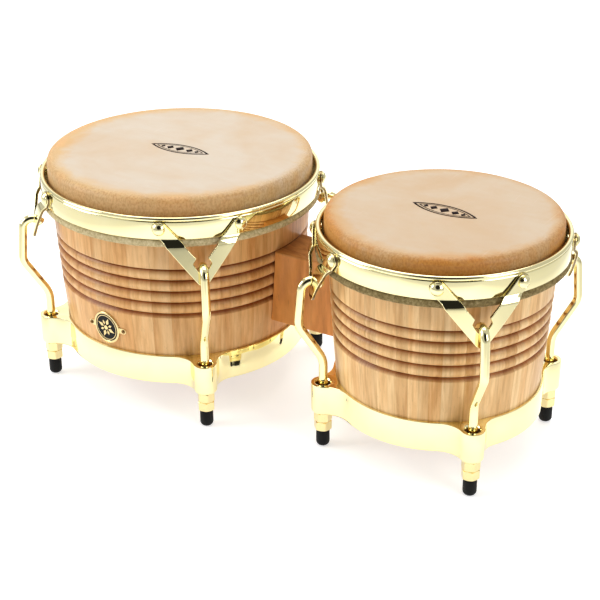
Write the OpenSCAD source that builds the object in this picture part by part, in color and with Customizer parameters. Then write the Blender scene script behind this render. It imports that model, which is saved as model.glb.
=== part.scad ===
// Bongo drums: two stave shells joined by a centre block. Each shell has a
// rawhide head, a tuning rim held by four hooked rods, and a cast bottom ring.
// Millimetres, +Z up. The origin is on the floor, midway along the pair.
// Lists of two values belong to the big drum and the small drum, in that order.

/* [Drums] */
// Distance between the two drum axes
axis_spacing = 242; // [238:0.5:256]
// Inside radius of the big drum's rim
big_rim_r = 111.5; // [110:0.5:113]
// Inside radius of the small drum's rim
small_rim_r = 93; // [91.5:0.5:94.5]
// Height of the big drum's playing surface
big_crown_z = 195.5; // [192:0.5:197]
// Height of the small drum's playing surface
small_crown_z = 192.5; // [190:0.5:197]

/* [Shells] */
// Wall thickness of the wooden shells
wall = 10; // [8:0.5:12]
// Height of the uppermost turned groove
groove_top_z = 133.9; // [130:0.1:137]
// Distance from one groove to the next
groove_pitch = 10; // [9:0.1:10.5]
// Depth of the grooves
groove_depth = 3; // [1.5:0.1:4]
// Number of grooves
groove_count = 5; // [3:1:5]

/* [Rims] */
// Height of the rims' upper edge
rim_top_z = 182.2; // [181:0.1:183]
// Height of the rims' lower edge
rim_bottom_z = 164; // [163.5:0.1:164.5]
// Thickness of the rim band
rim_t = 3; // [2.5:0.1:3.2]

/* [Lugs] */
// Turn of both lug patterns about their drum axes, in degrees
lug_turn = -2.4; // [-5:0.1:5]
// Radius of the big drum's lug circle
big_lug_r = 115; // [114:0.5:118]
// Radius of the small drum's lug circle
small_lug_r = 92.5; // [92:0.5:95]
// Diameter of the tuning rods
rod_d = 7; // [6:0.1:7]
// Height of the highest point of the hooks
hook_top_z = 148.4; // [147:0.1:149]
// Thickness of the V brackets
bracket_t = 2.6; // [2:0.1:3]
// Width of a bracket's arms
arm_w = 11; // [9:0.5:12]

/* [Bottom rings and feet] */
// Height of the rings' upper edge
ring_top_z = 56.5; // [55:0.5:58]
// Height of the rings' lower edge
ring_bottom_z = 30.8; // [30:0.1:32]
// Radius of the ears round the rods
ear_r = 9.5; // [8.5:0.1:10]
// Width across the flats of the tuning nuts
nut_af = 12.7; // [11:0.1:13]
// Diameter of the rubber tips
tip_d = 10.8; // [9:0.1:11.4]

/* [Centre block and badge] */
// Width of the centre block
block_w = 41; // [36:0.5:46]
// Height of the block's lower face
block_bottom_z = 72.5; // [70:0.5:75]
// Height of the block's upper face
block_top_z = 135; // [132:0.5:138]
// Direction of the badge from the big drum's axis, in degrees
badge_angle = -93.3; // [-110:0.1:-80]
// Height of the badge's centre
badge_z = 74; // [72:0.5:76]

/* [Hidden] */
$fn = 72;
DRUMS = ["big", "small"];
LUGS = ["near_left", "near_right", "far_right", "far_left"];
DRUM_PARTS = ["shell", "head_skin", "head_collar", "flesh_hoop", "rim", "rim_rivets", "bottom_ring"];
LUG_PARTS = ["bracket", "tuning_rod", "tuning_nut", "lock_nut", "rubber_tip"];
PAIR_PARTS = ["centre_block", "block_bolts", "block_washers", "block_nuts", "badge", "badge_pins"];

gold = "#d8c27c";
wood = "#d8a468";
block_wood = "#a8642c";
rawhide = "#d9c3a0";
hide_edge = "#8f7d5c";
steel = "#a9abad";
rubber = "#1c1c1c";

clearance = 0.05;          // running fit between a rod and its nut, and round rivets
seat_gap = 0.15;           // between pieces that sit against each other
sweep = 400;               // longer than any cut has to reach

// Radii and heights that set each drum
rim_in = [big_rim_r, small_rim_r];
rim_lip_r = 1.9;
rim_out = [for (r = rim_in) r + 0.5 + rim_t];
crown_z = [big_crown_z, small_crown_z];
skin_t = 1.8;
skin_gap = 2.5;
skin_r = [for (r = rim_in) r - skin_gap];
skin_round = 8;
skin_bottom_z = 169.6;

// Shell profile: widest at shoulder_z, then tapering and bowing in towards the floor
shell_gap = 0.2;
shell_r_top = [for (r = skin_r) r - skin_t - shell_gap];
shell_top_z = [for (z = crown_z) z - skin_t - shell_gap];
shoulder_z = 189;
shell_taper = [0, 0.035];
shell_bow = [1200, 2400];
shell_bottom_z = 34.3;
bearing_round = skin_round - skin_t - shell_gap;
function drop(z) = max(0, shoulder_z - z);
function shell_r(d, z) = shell_r_top[d] - shell_taper[d] * drop(z) - drop(z) * drop(z) / 2 / shell_bow[d];

// Rawhide roll round the flesh hoop, pressed down by the rim
roll_r = 3.5;
roll_bore = 2.7;
hoop_wire_r = 2.6;
roll_z = rim_bottom_z - roll_r - 0.1;
roll_centre_r = [for (r = rim_out) r - 2.8];
roll_out = [for (r = roll_centre_r) r + roll_r];
collar_t = 1.7;
collar_top_z = skin_bottom_z - 0.4;

// The pair is centred on the origin along X
big_x = -(axis_spacing + roll_out[1] - roll_out[0]) / 2;
drum_x = [big_x, big_x + axis_spacing];

// Lugs, hooks and brackets
lug_r = [big_lug_r, small_lug_r];
function lug_angle(k) = -135 + 90 * k + lug_turn;
rod_r = rod_d / 2;
hook_bend_r = 8;
hook_z = hook_top_z - rod_r - hook_bend_r;
hook_offset = 17.2;        // from the lug circle out to the rod just below its hook
bow_offset = 19.6;         // the same at the top of the dog-leg
bow_z = 107.5;
knee_z = 76.5;
knee_r = 22;
bow_r = 14;
hook_sweep = 130;
hook_tail = 3;
rod_bottom_z = 3;
plate_r = [for (r = lug_r) r + hook_offset - hook_bend_r];
rivet_z = 173.5;
rivet_t = 31.3;            // from the bracket's middle to each rivet
rivet_shank_r = 2.5;
vertex_z = 136;
jog_z = [164.6, 160];
jog_out = 3;
notch_r = 7;
plate_in = [for (d = [0, 1]) rim_out[d] + jog_out];
plate_low = [for (r = plate_r) r - bracket_t / 2];
// Inner face of a bracket where its hook sits, out from the lug circle
seat_out = [for (d = [0, 1])
    plate_in[d] + (plate_low[d] - plate_in[d]) * (jog_z[1] - 140) / (jog_z[1] - vertex_z + arm_w) - lug_r[d]];
// The rod leans in above its dog-leg, and its hook bends about a point square to that
hook_lean = atan((bow_offset - hook_offset) / (hook_z - bow_z));
hook_centre = [hook_offset - hook_bend_r * cos(hook_lean), hook_z - hook_bend_r * sin(hook_lean)];
hook_under_r = hook_bend_r - rod_r;
hook_reach = [for (s = seat_out) hook_centre[0] - s];
seat_z = [for (x = hook_reach) hook_centre[1] + sqrt(hook_under_r * hook_under_r - x * x) - 0.3];

// Nuts and rubber tips
tip_top_z = 14.8;
lock_nut_z = 15;
nut_h = 7.75;
tuning_nut_z = ring_bottom_z - seat_gap - nut_h;
ear_bore_r = 5.6;
ear_fillet_r = 20;
tip_flat_r = 1.6;

// Bottom rings
band_t = 2.4;
ring_out = [for (d = [0, 1]) shell_r(d, ring_top_z) + band_t];
ledge = 6;

// Bolts through the block
bolt_z = [88, 120];
bolt_r = 4;
bolt_af = 13;
bolt_head_h = 5.3;
bolt_nut_h = 6.5;
bolt_spare = 3;
washer_r = 8;
washer_t = 1.6;
spotface_r = 9.5;
// Distances from the drum axes out to the flat seats of the washers
function seat_x(d, z) = shell_r(d, z) - wall + 1.2;

// Badge
badge_r = 12.75;
badge_stretch = 1.5;
badge_t = 1.3;
tab_t = 16.6;
tab_r = 3;
pin_r = 0.8;

// ---- Helpers ----

function arc(cx, cy, r, a0, a1, n = 8) =
    [for (i = [0:n]) let (a = a0 + (a1 - a0) * i / n) [cx + r * cos(a), cy + r * sin(a)]];

// Points of the shell's smooth outside between two heights, going down
function shell_line(d, z0, z1, n, grow = 0) =
    [for (i = [0:n]) let (z = z0 + (z1 - z0) * i / n) [shell_r(d, z) + grow, z]];

module at_drum(d) translate([drum_x[d], 0, 0]) children();
module at_lug(d, k) at_drum(d) rotate([0, 0, lug_angle(k)]) children();
// X becomes outwards from the drum, Y along its wall
module outwards(angle) rotate([0, 0, angle]) rotate([90, 0, 90]) children();

// Hexagonal nut blank with both ends chamfered
module hex_blank(af, h) {
    corner = af / sqrt(3);
    chamfer = corner - af / 2;
    intersection() {
        cylinder(h = h, r = corner, $fn = 6);
        rotate_extrude() polygon([
            [0, 0], [corner - chamfer, 0], [corner, chamfer * 0.6],
            [corner, h - chamfer * 0.6], [corner - chamfer, h], [0, h]
        ]);
    }
}

// Round bar bent a step at a time: [straight length, bend angle, bend radius].
// It starts up along Z, and a positive angle bends it towards +X. The straights
// are a hair thinner than the bends and run a little way into them.
module bent_bar(radius, steps, i = 0) {
    if (i < len(steps)) {
        straight = steps[i][0];
        angle = steps[i][1];
        bend = steps[i][2];
        side = angle < 0 ? -1 : 1;
        turn = abs(angle);
        start = i > 0 ? -0.3 : 0;
        end = turn > 0 ? straight + 0.3 : straight;
        translate([0, 0, start]) cylinder(h = end - start, r = radius);
        translate([0, 0, straight]) {
            if (turn > 0)
                scale_x(side) translate([bend, 0, 0]) rotate([90, 0, 0]) rotate([0, 0, 180 - turn])
                    rotate_extrude(angle = turn) translate([bend, 0]) circle(r = radius + 0.02);
            translate([side * bend * (1 - cos(turn)), 0, bend * sin(turn)])
                rotate([0, angle, 0]) bent_bar(radius, steps, i + 1);
        }
    }
}
module scale_x(side) {
    if (side < 0) mirror([1, 0, 0]) children();
    else children();
}

// ---- Shells ----

// Bead profile between two grooves: circular arcs that meet in sharp valleys
function bead(d, z0, n = 6) = let (
        half = groove_pitch / 2,
        r = (half * half + groove_depth * groove_depth) / 2 / groove_depth
    ) [for (i = [0:n]) let (
        s = groove_pitch * (i / n - 0.5),
        z = z0 - groove_pitch * i / n,
        rise = sqrt(r * r - s * s) - (r - groove_depth)
    ) [shell_r(d, z) - groove_depth + rise, z]];

groove_bottom_z = groove_top_z - groove_pitch * (groove_count - 1);

module shell(d) color(wood) at_drum(d) difference() {
    rotate_extrude() polygon(concat(
        arc(shell_r_top[d] - bearing_round, shell_top_z[d] - bearing_round, bearing_round, 90, 0),
        shell_line(d, 176, groove_top_z + 1.2, 3),
        [for (i = [0:groove_count - 2]) each bead(d, groove_top_z - i * groove_pitch)],
        shell_line(d, groove_bottom_z - 3, ring_top_z, 3),
        shell_line(d, 45, shell_bottom_z, 1),
        shell_line(d, shell_bottom_z, 160, 5, -wall),
        [[shell_r_top[d] - wall, shell_top_z[d] - 6],
         [shell_r_top[d] - bearing_round, shell_top_z[d] - 1.5]]
    ));
    for (z = bolt_z) translate([0, 0, z]) rotate([0, d == 0 ? 90 : -90, 0]) {
        translate([0, 0, seat_x(d, z) - 5]) cylinder(h = 25, r = bolt_r + 0.3);
        translate([0, 0, seat_x(d, z) - 30]) cylinder(h = 30, r = spotface_r);
    }
    if (d == 0)
        for (s = [-1, 1]) badge_pin_axis(s) translate([0, 0, -9]) cylinder(h = 20, r = pin_r + clearance);
}

// ---- Heads ----

module head_skin(d) color(rawhide) at_drum(d) rotate_extrude() polygon(concat(
    [[0, crown_z[d] - skin_t], [0, crown_z[d]]],
    arc(skin_r[d] - skin_round, crown_z[d] - skin_round, skin_round, 90, 0),
    [[skin_r[d], skin_bottom_z], [skin_r[d] - skin_t, skin_bottom_z]],
    arc(skin_r[d] - skin_round, crown_z[d] - skin_round, skin_round - skin_t, 0, 90)
));

module head_collar(d) color(hide_edge) at_drum(d) rotate_extrude() difference() {
    union() {
        translate([roll_centre_r[d], roll_z]) circle(r = roll_r);
        translate([skin_r[d] - collar_t, roll_z - 1]) square([collar_t, collar_top_z - roll_z + 1]);
    }
    translate([roll_centre_r[d], roll_z]) circle(r = roll_bore);
}

module flesh_hoop(d) color(steel) at_drum(d)
    rotate_extrude() translate([roll_centre_r[d], roll_z]) circle(r = hoop_wire_r);

// ---- Rims, brackets and rivets ----

// Direction of a rivet from the drum axis, and its place along its own axis
function rivet_angle(d, s) = s * asin(rivet_t / (rim_out[d] + bracket_t / 2));
module rivet_axis(d, s)
    rotate([0, 0, rivet_angle(d, s)]) translate([0, 0, rivet_z]) rotate([0, 90, 0]) children();
module rivet_bore(d, s)
    rivet_axis(d, s) translate([0, 0, rim_in[d] - 4]) cylinder(h = 20, r = rivet_shank_r + clearance);

module rim(d) color(gold) difference() {
    at_drum(d) rotate_extrude() {
        translate([rim_in[d] + 0.5, rim_bottom_z]) square([rim_t, rim_top_z - rim_lip_r - rim_bottom_z]);
        translate([rim_in[d] + rim_lip_r, rim_top_z - rim_lip_r]) circle(r = rim_lip_r);
    }
    for (k = [0:3], s = [-1, 1]) at_lug(d, k) rivet_bore(d, s);
}

module rim_rivets(d) color(gold) for (k = [0:3], s = [-1, 1]) at_lug(d, k) rivet_axis(d, s) {
    head = rim_out[d] + bracket_t + 0.15;
    head_r = 4.9;
    head_h = 2.6;
    dome_r = (head_r * head_r + head_h * head_h) / 2 / head_h;
    translate([0, 0, rim_in[d] - 0.9]) cylinder(h = 1.2, r = 4);
    translate([0, 0, rim_in[d] - 0.3]) cylinder(h = head - rim_in[d] + 0.6, r = rivet_shank_r);
    translate([0, 0, head]) rotate_extrude()
        polygon(concat([[0, 0]], arc(0, head_h - dome_r, dome_r, asin((dome_r - head_h) / dome_r), 90, 7)));
}

// Bars of the V: two arms from the rivets to the vertex
module bracket_bars() {
    for (s = [-1, 1]) {
        reach = [s * rivet_t, rivet_z - vertex_z];
        translate([reach[0], rivet_z]) cylinder(h = sweep, r = arm_w / 2);
        translate([0, vertex_z]) rotate([0, 0, atan2(reach[1], reach[0])])
            translate([-4.6, -arm_w / 2]) cube([norm(reach) + 4.6, arm_w, sweep]);
    }
    translate([0, vertex_z - 1.4]) cylinder(h = sweep, r = arm_w / 2 + 0.7);
}

// The bars shaped to a band that follows the rim and swings out to the hook
module bracket(d, k) color(gold) at_lug(d, k) difference() {
    intersection() {
        rotate([0, 0, 180]) rotate_extrude() polygon([
            [rim_out[d] + 0.1, rivet_z + arm_w],
            [rim_out[d] + 0.1, jog_z[0]],
            [plate_in[d], jog_z[1]],
            [plate_low[d], vertex_z - arm_w],
            [plate_low[d] + bracket_t, vertex_z - arm_w],
            [plate_in[d] + bracket_t + 0.3, jog_z[1] - 0.6],
            [rim_out[d] + 0.1 + bracket_t, jog_z[0] - 0.8],
            [rim_out[d] + 0.1 + bracket_t, rivet_z + arm_w]
        ]);
        outwards(0) bracket_bars();
    }
    outwards(0) translate([0, seat_z[d] + notch_r, 0]) cylinder(h = sweep, r = notch_r);
    for (s = [-1, 1]) rivet_bore(d, s);
}

// ---- Rods, nuts and tips ----

module tuning_rod(d, k) color(gold) at_lug(d, k) translate([lug_r[d], 0, rod_bottom_z]) {
    slope = atan(bow_offset / (bow_z - knee_z));
    knee_cut = knee_r * tan(slope / 2);
    bow_cut = bow_r * tan((slope + hook_lean) / 2);
    bent_bar(rod_r, [
        [knee_z - rod_bottom_z - knee_cut, slope, knee_r],
        [norm([bow_offset, bow_z - knee_z]) - knee_cut - bow_cut, -(slope + hook_lean), bow_r],
        [norm([bow_offset - hook_offset, hook_z - bow_z]) - bow_cut, -hook_sweep, hook_bend_r],
        [hook_tail, 0, 1]
    ]);
}

module rod_nut(d, k, z) color(gold) at_lug(d, k) translate([lug_r[d], 0, z]) difference() {
    hex_blank(nut_af, nut_h);
    translate([0, 0, -1]) cylinder(h = nut_h + 2, r = rod_r + clearance);
}
module tuning_nut(d, k) rod_nut(d, k, tuning_nut_z);
module lock_nut(d, k) rod_nut(d, k, lock_nut_z);

module rubber_tip(d, k) color(rubber) at_lug(d, k) translate([lug_r[d], 0, 0]) difference() {
    round_r = tip_d / 2;
    rotate_extrude() polygon(concat(
        [[0, tip_top_z], [0, 0]],
        arc(tip_flat_r, round_r - tip_flat_r, round_r - tip_flat_r, -90, 0),
        [[round_r, tip_top_z]]
    ));
    translate([0, 0, rod_bottom_z]) cylinder(h = sweep, r = rod_r);
}

// ---- Bottom rings ----

// One ear: a round boss joined to the band by a web with two concave sides
module ear(d) {
    boss = lug_r[d];
    h = ring_top_z - ring_bottom_z;
    blend_in = 0.04;
    to_axis = ring_out[d] + ear_fillet_r - blend_in;
    to_boss = ear_r + ear_fillet_r - blend_in;
    n = (to_axis * to_axis + boss * boss - to_boss * to_boss) / 2 / boss;
    t = sqrt(to_axis * to_axis - n * n);
    translate([boss, 0, 0]) cylinder(h = h, r = ear_r);
    difference() {
        linear_extrude(h) polygon([[n - 40, 0], [n, t], [boss, 0], [n, -t]]);
        for (s = [-1, 1]) translate([n, s * t, -1]) cylinder(h = h + 2, r = ear_fillet_r);
    }
}

// The shell's seat, cut out of the ring: a cup with a ledge and a hole below it
module ring_seat(d) at_drum(d) rotate_extrude() polygon(concat(
    [[0, ring_top_z + 1], [shell_r(d, ring_top_z) + seat_gap, ring_top_z + 1]],
    shell_line(d, ring_top_z, 45, 1, seat_gap),
    [[shell_r(d, shell_bottom_z) + seat_gap, shell_bottom_z - seat_gap],
     [shell_r(d, shell_bottom_z) - ledge, shell_bottom_z - seat_gap],
     [shell_r(d, shell_bottom_z) - ledge, ring_bottom_z - 1], [0, ring_bottom_z - 1]]
));

module bottom_ring(d) color(gold) difference() {
    union() {
        at_lug(d, 2) translate([0, 0, ring_bottom_z])
            cylinder(h = ring_top_z - ring_bottom_z, r = ring_out[d]);
        for (k = [0:3]) at_lug(d, k) translate([0, 0, ring_bottom_z]) ear(d);
    }
    ring_seat(d);
    for (k = [0:3]) at_lug(d, k) translate([lug_r[d], 0, 20]) cylinder(h = 50, r = ear_bore_r);
}

// ---- Centre block and its bolts ----

module centre_block() color(block_wood) difference() {
    translate([drum_x[0], -block_w / 2, block_bottom_z])
        cube([axis_spacing, block_w, block_top_z - block_bottom_z]);
    for (d = [0, 1]) at_drum(d) rotate_extrude() polygon(concat(
        [[0, block_top_z + 5]],
        shell_line(d, block_top_z + 5, block_bottom_z - 5, 6, seat_gap),
        [[0, block_bottom_z - 5]]
    ));
    for (z = bolt_z) along_bolt(drum_x[0], z) cylinder(h = axis_spacing, r = bolt_r + 0.3);
}

// Places of the two seats on a bolt's axis
function bolt_start(z) = drum_x[0] + seat_x(0, z);
function bolt_end(z) = drum_x[1] - seat_x(1, z);
module along_bolt(x, z) translate([x, 0, z]) rotate([0, 90, 0]) children();

module block_bolts() color(steel) for (z = bolt_z) {
    head_x = bolt_start(z) - washer_t - seat_gap;
    along_bolt(head_x - bolt_head_h, z) hex_blank(bolt_af, bolt_head_h);
    along_bolt(head_x - 1, z)
        cylinder(h = bolt_end(z) - head_x + washer_t + bolt_nut_h + bolt_spare + 1, r = bolt_r);
}

module washer() difference() {
    cylinder(h = washer_t, r = washer_r);
    translate([0, 0, -1]) cylinder(h = washer_t + 2, r = bolt_r + 0.2);
}
module block_washers() color(steel) for (z = bolt_z) {
    along_bolt(bolt_start(z) - washer_t - 0.05, z) washer();
    along_bolt(bolt_end(z) + 0.05, z) washer();
}

module bolt_nut() difference() {
    hex_blank(bolt_af, bolt_nut_h);
    translate([0, 0, -1]) cylinder(h = bolt_nut_h + 2, r = bolt_r + clearance);
}
module block_nuts() color(steel)
    for (z = bolt_z) along_bolt(bolt_end(z) + washer_t + seat_gap, z) bolt_nut();

// ---- Badge ----

module badge_pin_axis(s) at_badge_angle(s * asin(tab_t / shell_r(0, badge_z)))
    translate([shell_r(0, badge_z), 0, badge_z]) rotate([0, 90, 0]) children();
module at_badge_angle(turn) rotate([0, 0, badge_angle + turn]) children();

module badge() color(gold) at_drum(0) difference() {
    intersection() {
        outwards(badge_angle) linear_extrude(sweep) {
            for (s = [-1, 1]) {
                translate([0, badge_z + s * badge_stretch]) circle(r = badge_r);
                translate([s * tab_t, badge_z]) circle(r = tab_r);
            }
            translate([-badge_r, badge_z - badge_stretch]) square([2 * badge_r, 2 * badge_stretch]);
            translate([-tab_t, badge_z - 2]) square([2 * tab_t, 4]);
        }
        rotate_extrude() polygon(concat(
            shell_line(0, badge_z + 18, badge_z - 18, 3, 0.1 + badge_t),
            shell_line(0, badge_z - 18, badge_z + 18, 3, 0.1)
        ));
    }
    for (s = [-1, 1]) badge_pin_axis(s) translate([0, 0, -9]) cylinder(h = 20, r = pin_r + clearance);
}

module badge_pins() color(gold) at_drum(0) for (s = [-1, 1]) badge_pin_axis(s) {
    translate([0, 0, -7]) cylinder(h = 7 + badge_t + 0.5, r = pin_r);
    translate([0, 0, badge_t + 0.3]) rotate_extrude()
        polygon(concat([[0, 0]], arc(0, -0.6, 1.9, asin(0.6 / 1.9), 90, 5)));
}

// ---- Drawing ----

for (d = [0, 1]) {
    shell(d);
    head_skin(d);
    head_collar(d);
    flesh_hoop(d);
    rim(d);
    rim_rivets(d);
    bottom_ring(d);
    for (k = [0:3]) {
        bracket(d, k);
        tuning_rod(d, k);
        tuning_nut(d, k);
        lock_nut(d, k);
        rubber_tip(d, k);
    }
}
centre_block();
block_bolts();
block_washers();
block_nuts();
badge();
badge_pins();
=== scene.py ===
import math
from math import atan, atan2, cos, hypot, pi, radians, sin, sqrt, tan

import bmesh
import bpy
from mathutils import Matrix, Vector, noise


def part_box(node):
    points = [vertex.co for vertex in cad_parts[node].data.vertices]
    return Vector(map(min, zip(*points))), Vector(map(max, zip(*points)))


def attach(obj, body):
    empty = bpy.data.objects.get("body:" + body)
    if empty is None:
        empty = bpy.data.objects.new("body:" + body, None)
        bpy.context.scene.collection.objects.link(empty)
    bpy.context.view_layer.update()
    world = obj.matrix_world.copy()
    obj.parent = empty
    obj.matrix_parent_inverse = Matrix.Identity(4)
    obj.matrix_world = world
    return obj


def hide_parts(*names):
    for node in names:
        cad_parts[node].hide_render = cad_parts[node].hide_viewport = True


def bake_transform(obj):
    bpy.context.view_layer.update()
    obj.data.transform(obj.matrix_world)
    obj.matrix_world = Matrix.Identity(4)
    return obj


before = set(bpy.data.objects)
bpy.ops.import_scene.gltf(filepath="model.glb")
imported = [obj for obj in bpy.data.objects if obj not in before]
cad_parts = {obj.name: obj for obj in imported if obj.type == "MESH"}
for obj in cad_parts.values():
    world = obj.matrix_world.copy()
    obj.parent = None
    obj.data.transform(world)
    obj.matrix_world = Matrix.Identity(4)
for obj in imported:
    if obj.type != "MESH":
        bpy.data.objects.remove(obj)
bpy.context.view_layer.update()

MM = 0.001
LUGS = ("near_left", "near_right", "far_right", "far_left")
ROOT = "drums"

# Millimetres from here on, for what the boxes of the CAD nodes don't give.
ROLL_R = 3.5            # bar of the head's rolled edge
CROWN_ROUND = 5.5       # rounding of the head over its shoulder
HEAD_T = 1.8
TAPER_TOP = 189.0       # height where the shells start to narrow
SHELL_GAP = 0.15        # clearance of the ring and the block round a shell
RIM_WALL = 3.5
RIM_LIP = 1.9           # radius of the rim's rolled lip
BRACKET_T = 2.6
JOG_OUT = 3.0           # how far the bracket steps out under the rim
JOG_Z, SEAT_Z, PLATE_Z = 160.0, 140.0, 125.0    # bracket: step, hook's seat, lower end
PLATE_OUT = 7.9         # the plate's lower end, outwards from the lug circle
ROD_R = 3.5
HOOK_R = 8.0
# the rod's dog-leg: heights, distances out from the lug circle, and the hook's centre
KNEE_Z, BOW_Z, HOOK_Z = 76.5, 107.5, 136.9
BOW_OUT, HOOK_OUT = 19.6, 17.2
HOOK_LEAN = atan((BOW_OUT - HOOK_OUT) / (HOOK_Z - BOW_Z))
HOOK_CENTRE = (HOOK_OUT - HOOK_R * cos(HOOK_LEAN), HOOK_Z - HOOK_R * sin(HOOK_LEAN))
ROD_END = 3.0           # the rod's lower end, inside the rubber tip
THREAD_PITCH = 1.0
THREAD_TOP = 44.0
NUT_FLATS = 12.7
EAR_R = 9.5
EAR_FILLET = 20.0
EAR_BORE = 5.6


# ---- the frame

def box_mm(node):
    low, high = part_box(node)
    return low * 1000, high * 1000


class Drum:
    """Sizes of one drum in millimetres, mostly read from its CAD nodes.

    taper is the shell's slope, and bow the radius of its belly's curve.
    """

    def __init__(self, name, taper, bow):
        self.name = name
        self.body = name + "_tuning"
        low, high = box_mm(name + "_rim")
        self.x = (low.x + high.x) / 2
        self.rim_out = (high.x - low.x) / 2 - (2 * RIM_LIP - RIM_WALL)
        self.rim_in = self.rim_out - RIM_WALL
        self.rim_bottom, self.rim_top = low.z, high.z
        low, high = box_mm(name + "_head_skin")
        self.skin_r = (high.x - low.x) / 2
        self.crown = high.z
        low, high = box_mm(name + "_head_collar")
        self.roll_out = (high.x - low.x) / 2
        self.roll_z = low.z + ROLL_R
        low, high = box_mm(name + "_bottom_ring")
        self.ring_bottom, self.ring_top = low.z, high.z
        low, high = box_mm(name + "_shell")
        self.shell_bottom, self.shell_top = low.z, high.z
        self.shell_top_r = self.skin_r - 2
        self.taper, self.bow = taper, bow
        self.lugs = {}
        for lug in LUGS:
            low, high = box_mm(f"{name}_rubber_tip_{lug}")
            dx, dy = (low.x + high.x) / 2 - self.x, (low.y + high.y) / 2
            self.lugs[lug] = atan2(dy, dx)
            self.lug_r = hypot(dx, dy)
        self.ring_out = self.shell_r(self.ring_top) + 2.4
        self.plate_low = self.lug_r + PLATE_OUT
        jog = self.rim_out + JOG_OUT
        share = (JOG_Z - SEAT_Z) / (JOG_Z - PLATE_Z)
        self.seat_out = jog + (self.plate_low - jog) * share - self.lug_r

    def shell_r(self, z):
        """The shell's outer radius at a height."""
        drop = max(0.0, TAPER_TOP - z)
        return self.shell_top_r - self.taper * drop - drop * drop / 2 / self.bow

    def origin(self):
        return (self.x, 0, 0)


BIG = Drum("big", 0.0, 1200)
SMALL = Drum("small", 0.035, 2400)
DRUMS = (BIG, SMALL)


# ---- mesh helpers

def mesh_object(name, verts, faces, material, origin=(0, 0, 0), turn=0.0, sharp=32, recalc=True):
    """An object from points in millimetres about an origin in millimetres, turned about Z."""
    mesh = bpy.data.meshes.new(name)
    mesh.from_pydata([(x * MM, y * MM, z * MM) for x, y, z in verts], [], faces)
    return finish_object(name, mesh, material, origin, turn, sharp, recalc)


def finish_object(name, mesh, material, origin=(0, 0, 0), turn=0.0, sharp=32, recalc=True):
    """Places a mesh, smooth except over edges sharper than an angle in degrees."""
    if recalc:
        bm = bmesh.new()
        bm.from_mesh(mesh)
        bmesh.ops.recalc_face_normals(bm, faces=bm.faces)
        bm.to_mesh(mesh)
        bm.free()
    mesh.shade_smooth()
    mesh.set_sharp_from_angle(angle=radians(sharp))
    mesh.materials.append(material)
    obj = bpy.data.objects.new(name, mesh)
    bpy.context.scene.collection.objects.link(obj)
    obj.location = Vector(origin) * MM
    obj.rotation_euler = (0, 0, turn)
    return obj


def object_of(bm, name, materials, origin, turn, sharp):
    """An object from a finished bmesh, with several materials."""
    mesh = bpy.data.meshes.new(name)
    bm.to_mesh(mesh)
    bm.free()
    obj = finish_object(name, mesh, materials[0], origin, turn, sharp)
    for material in materials[1:]:
        mesh.materials.append(material)
    return obj


def bevel(obj, width, segments=3, angle=40):
    mod = obj.modifiers.new("Edge", "BEVEL")
    mod.width = width * MM
    mod.segments = segments
    mod.limit_method = "ANGLE"
    mod.angle_limit = radians(angle)
    mod.harden_normals = True
    return mod


def arc(cx, cy, r, start, end, n):
    """Points on an arc, with its angles in degrees."""
    angles = [radians(start + (end - start) * i / n) for i in range(n + 1)]
    return [(cx + r * cos(a), cy + r * sin(a)) for a in angles]


def rounded(points, steps=5, closed=True):
    """A polyline of (x, y, radius) with its corners rounded."""
    out = []
    n = len(points)
    for i, (x, y, r) in enumerate(points):
        if r <= 0 or (not closed and i in (0, n - 1)):
            out.append((x, y))
            continue
        p = Vector((x, y))
        a = Vector(points[i - 1][:2]) - p
        b = Vector(points[(i + 1) % n][:2]) - p
        half = a.angle(b) / 2
        if half > pi / 2 - 0.01:
            out.append((x, y))
            continue
        cut = min(r / tan(half), a.length * 0.48, b.length * 0.48)
        rad = cut * tan(half)
        a.normalize()
        b.normalize()
        centre = p + (a + b).normalized() * (rad / sin(half))
        s, e = p + a * cut - centre, p + b * cut - centre
        first = atan2(s.y, s.x)
        sweep = (atan2(e.y, e.x) - first + pi) % (2 * pi) - pi
        for k in range(steps + 1):
            t = first + sweep * k / steps
            out.append((centre.x + rad * cos(t), centre.y + rad * sin(t)))
    return out


def revolve(profile, segments, closed=True, wobble=None):
    """Points and faces of a profile of (r, z) turned about Z."""
    verts, rows, faces = [], [], []
    for r, z in profile:
        if r < 1e-6:
            rows.append([len(verts)] * segments)
            verts.append((0, 0, z))
            continue
        rows.append(list(range(len(verts), len(verts) + segments)))
        for i in range(segments):
            a = 2 * pi * i / segments
            rr, zz = wobble(a, r, z) if wobble else (r, z)
            verts.append((rr * cos(a), rr * sin(a), zz))
    pairs = list(zip(rows, rows[1:]))
    if closed:
        pairs.append((rows[-1], rows[0]))
    for low, high in pairs:
        for i in range(segments):
            j = (i + 1) % segments
            face = []
            for v in (low[i], low[j], high[j], high[i]):
                if v not in face:
                    face.append(v)
            if len(face) > 2:
                faces.append(face)
    return verts, faces


def turned(name, profile, material, origin, segments=160, closed=True, turn=0.0, sharp=32, wobble=None):
    verts, faces = revolve(profile, segments, closed, wobble)
    return mesh_object(name, verts, faces, material, origin, turn, sharp)


def skin(rows, n, closed=False):
    """Quads between rows of n points, and from the last row to the first if closed."""
    faces = []
    for i in range(rows if closed else rows - 1):
        j = (i + 1) % rows
        for s in range(n):
            t = (s + 1) % n
            faces.append((i * n + s, i * n + t, j * n + t, j * n + s))
    return faces


def capped(rows, n):
    """A skin with both its ends filled."""
    return skin(rows, n) + [list(range(n)), list(range((rows - 1) * n, rows * n))]


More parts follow.
